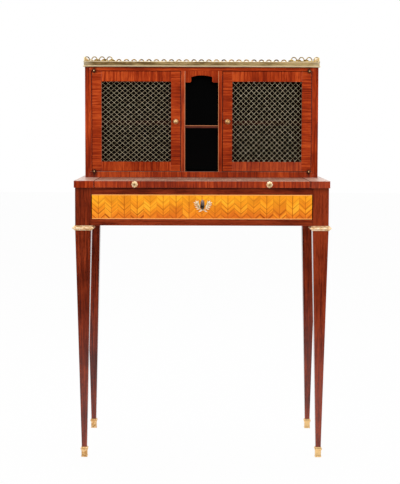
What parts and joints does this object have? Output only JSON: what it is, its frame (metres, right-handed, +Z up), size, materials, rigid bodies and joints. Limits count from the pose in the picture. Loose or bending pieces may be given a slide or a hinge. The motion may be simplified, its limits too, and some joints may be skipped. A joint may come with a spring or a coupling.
{
  "type": "bonheur du jour",
  "caption": "Small writing table on tapered legs with a parquetry drawer, a pull-out writing slide and a shallow cabinet of wire grille doors under a pierced brass gallery.",
  "frame": {"origin": "on the floor, under the middle of the box that holds the whole piece", "axes": "+Z up, -Y to the front where the drawer and the doors face, +X to the right seen from the front"},
  "size_m": [0.702, 0.442, 1.105],
  "materials": {
    "mahogany": "polished",
    "parquetry": "polished",
    "oak": "plain planed",
    "gilt": "gilt, cast and chased",
    "brass": "satin, toned",
    "dark_brass": "dark patina",
    "iron": "filed"
  },
  "bodies": {
    "desk": {"front_left_leg": "mahogany", "front_right_leg": "mahogany", "rear_left_leg": "mahogany", "rear_right_leg": "mahogany", "leg_collars": "gilt", "leg_sabots": "gilt", "left_apron": "mahogany", "right_apron": "mahogany", "back_apron": "mahogany", "upper_front_rail": "mahogany", "lower_front_rail": "mahogany", "drawer_runners": "oak", "dust_board": "oak", "slide_bearers": "oak", "left_top_board": "mahogany", "right_top_board": "mahogany", "back_top_board": "mahogany", "cabinet_left_side": "mahogany", "cabinet_right_side": "mahogany", "cabinet_top": "mahogany", "cabinet_bottom": "mahogany", "cabinet_back": "mahogany", "left_partition": "mahogany", "right_partition": "mahogany", "niche_shelf": "mahogany", "left_shelf": "mahogany", "right_shelf": "mahogany", "niche_apron": "mahogany", "cabinet_top_rail": "mahogany", "door_stops": "oak", "top_band": "brass", "gallery_back": "brass", "gallery_left": "brass", "gallery_right": "brass", "cabinet_pivots": "dark_brass"},
    "writing_slide": {"slide_board": "mahogany", "slide_knobs": "gilt"},
    "drawer": {"drawer_front": "parquetry", "drawer_left_side": "oak", "drawer_right_side": "oak", "drawer_back": "oak", "drawer_bottom": "oak", "escutcheon": "gilt", "lock_case": "iron"},
    "lock_bolt": {"lock_bolt": "iron"},
    "left_door": {"left_door_hinge_stile": "mahogany", "left_door_meeting_stile": "mahogany", "left_door_top_rail": "mahogany", "left_door_bottom_rail": "mahogany", "left_door_grille": "brass", "left_door_knob": "gilt", "left_door_pivots": "dark_brass"},
    "right_door": {"right_door_hinge_stile": "mahogany", "right_door_meeting_stile": "mahogany", "right_door_top_rail": "mahogany", "right_door_bottom_rail": "mahogany", "right_door_grille": "brass", "right_door_knob": "gilt", "right_door_pivots": "dark_brass"}
  },
  "joints": [
    {"name": "slide_pull", "type": "slide", "parent": "desk", "child": "writing_slide", "axis": [0, -1, 0], "range_m": [0, 0.23]},
    {"name": "drawer_pull", "type": "slide", "parent": "desk", "child": "drawer", "axis": [0, -1, 0], "range_m": [0, 0.25]},
    {"name": "bolt_throw", "type": "slide", "parent": "drawer", "child": "lock_bolt", "axis": [0, 0, 1], "range_m": [0, 0.0075]},
    {"name": "left_door_swing", "type": "hinge", "parent": "desk", "child": "left_door", "pos_m": [-0.3075, 0.0448, 0.9205], "axis": [0, 0, -1], "range_deg": [0, 165]},
    {"name": "right_door_swing", "type": "hinge", "parent": "desk", "child": "right_door", "pos_m": [0.3075, 0.0448, 0.9205], "axis": [0, 0, 1], "range_deg": [0, 165]}
  ]
}
